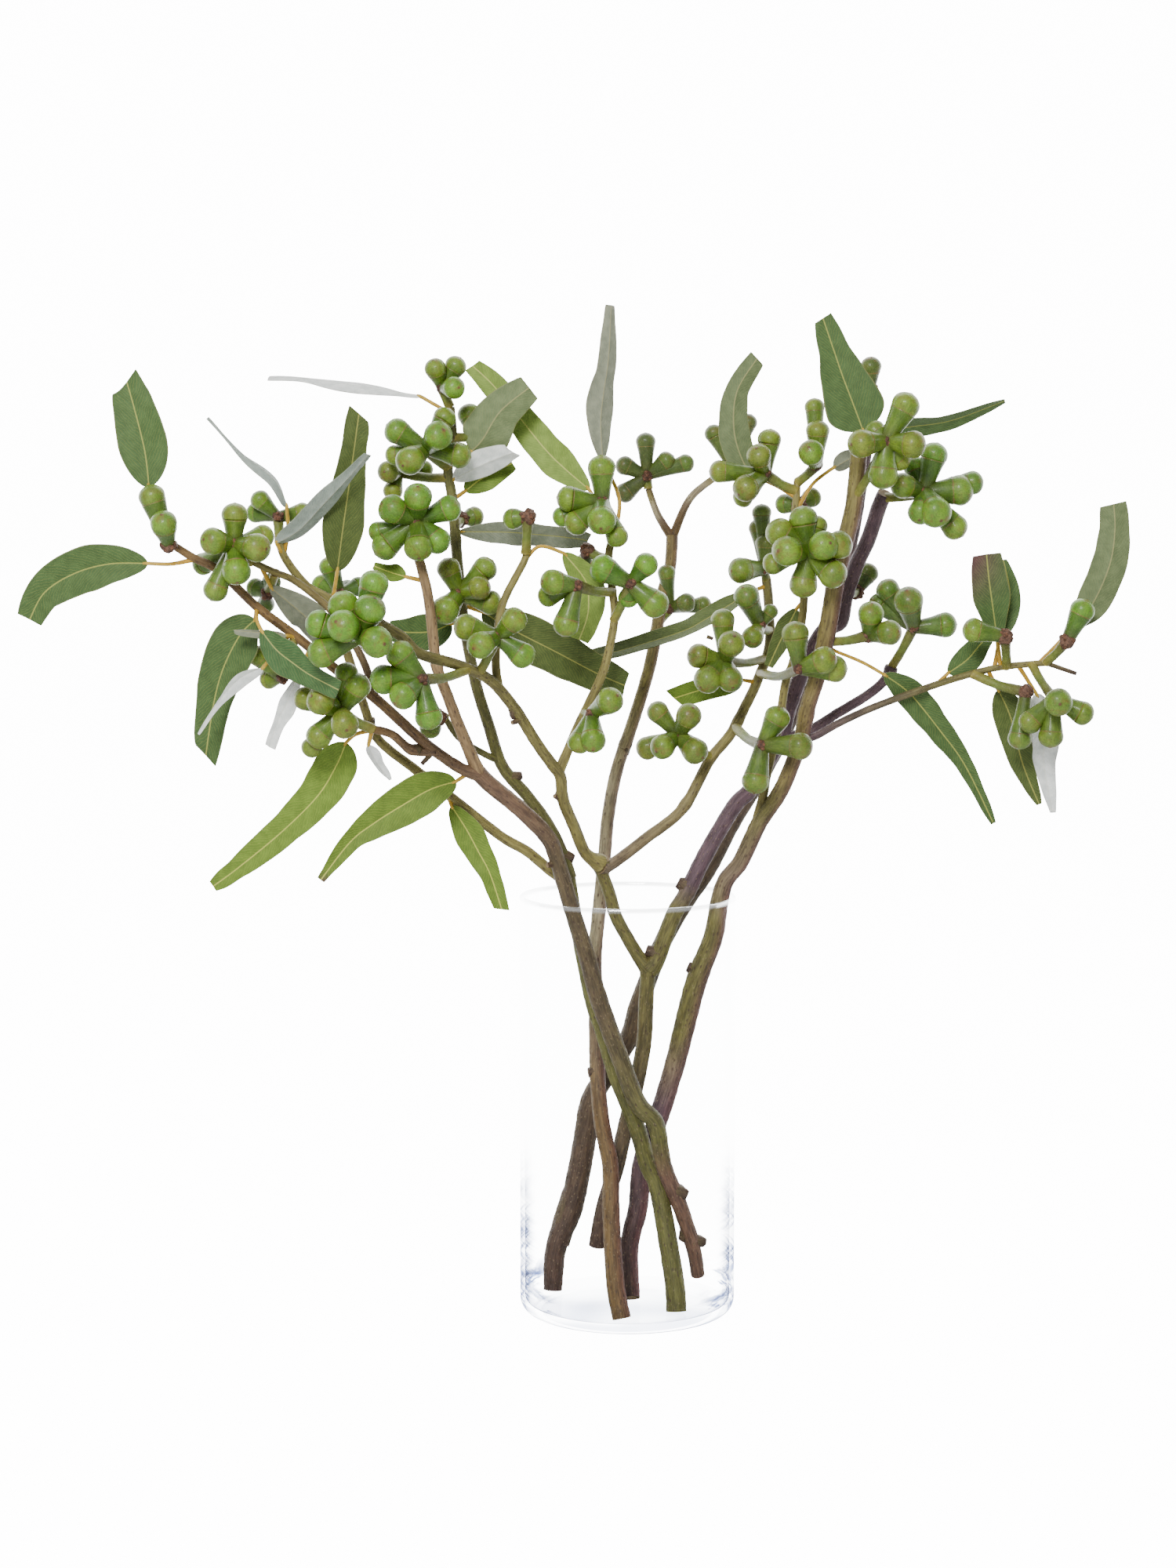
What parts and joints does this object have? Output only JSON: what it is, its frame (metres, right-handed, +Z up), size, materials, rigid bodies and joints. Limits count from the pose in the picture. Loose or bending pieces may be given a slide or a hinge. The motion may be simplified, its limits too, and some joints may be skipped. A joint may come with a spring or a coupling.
{
  "type": "eucalyptus gum nut sprigs in a glass vase",
  "caption": "Cut branching eucalyptus sprigs with sickle leaves and umbels of green club-shaped gum nuts, standing in a clear glass cylinder vase.",
  "frame": {"origin": "on the vase's axis, at its underside, where it rests", "axes": "+Z up along the vase's axis; +X to the right as the picture sees it; -Y towards the viewer"},
  "size_m": [0.5012, 0.24, 0.4743],
  "materials": {
    "glass": "clear polished glass, colourless, with a faint grey edge",
    "purple_bark": "smooth dull purple-brown bark with pale lenticels; dull green leaves",
    "olive_bark": "smooth satin olive bark, purple-brown in places; dull green leaves with yellow midribs",
    "grey_brown_bark": "dull grey-brown bark, olive above",
    "green_purple_bark": "satin olive-green bark with a purple side; dull green leaves",
    "green_bark": "satin green bark; dull green leaves with silver-grey undersides",
    "brown_bark": "dull warm brown bark; dull dark green leaves with yellow midribs",
    "gum_nuts": "satin fresh green skin with yellow and brown blush and fine specks; dark red-brown hubs"
  },
  "bodies": {
    "root": {"vase": "glass", "sprig_a": "purple_bark", "sprig_b": "olive_bark", "sprig_c": "grey_brown_bark", "sprig_d": "green_purple_bark", "sprig_e": "green_bark", "sprig_f": "brown_bark", "gum_nuts_01": "gum_nuts", "gum_nuts_02": "gum_nuts", "gum_nuts_03": "gum_nuts", "gum_nuts_04": "gum_nuts", "gum_nuts_05": "gum_nuts", "gum_nuts_06": "gum_nuts", "gum_nuts_07": "gum_nuts", "gum_nuts_08": "gum_nuts", "gum_nuts_09": "gum_nuts", "gum_nuts_10": "gum_nuts", "gum_nuts_11": "gum_nuts", "gum_nuts_12": "gum_nuts", "gum_nuts_13": "gum_nuts", "gum_nuts_14": "gum_nuts", "gum_nuts_15": "gum_nuts", "gum_nuts_16": "gum_nuts", "gum_nuts_17": "gum_nuts", "gum_nuts_18": "gum_nuts", "gum_nuts_19": "gum_nuts", "gum_nuts_20": "gum_nuts", "gum_nuts_21": "gum_nuts", "gum_nuts_22": "gum_nuts", "gum_nuts_23": "gum_nuts", "gum_nuts_24": "gum_nuts", "gum_nuts_25": "gum_nuts", "gum_nuts_26": "gum_nuts", "gum_nuts_27": "gum_nuts", "gum_nuts_28": "gum_nuts", "gum_nuts_29": "gum_nuts", "gum_nuts_30": "gum_nuts", "gum_nuts_31": "gum_nuts", "gum_nuts_32": "gum_nuts", "gum_nuts_33": "gum_nuts", "gum_nuts_34": "gum_nuts", "gum_nuts_35": "gum_nuts", "gum_nuts_36": "gum_nuts", "gum_nuts_37": "gum_nuts", "gum_nuts_38": "gum_nuts", "gum_nuts_39": "gum_nuts", "gum_nuts_40": "gum_nuts", "gum_nuts_41": "gum_nuts", "gum_nuts_42": "gum_nuts", "gum_nuts_43": "gum_nuts", "gum_nuts_44": "gum_nuts", "gum_nuts_45": "gum_nuts", "gum_nuts_46": "gum_nuts", "gum_nuts_47": "gum_nuts"}
  },
  "joints": []
}
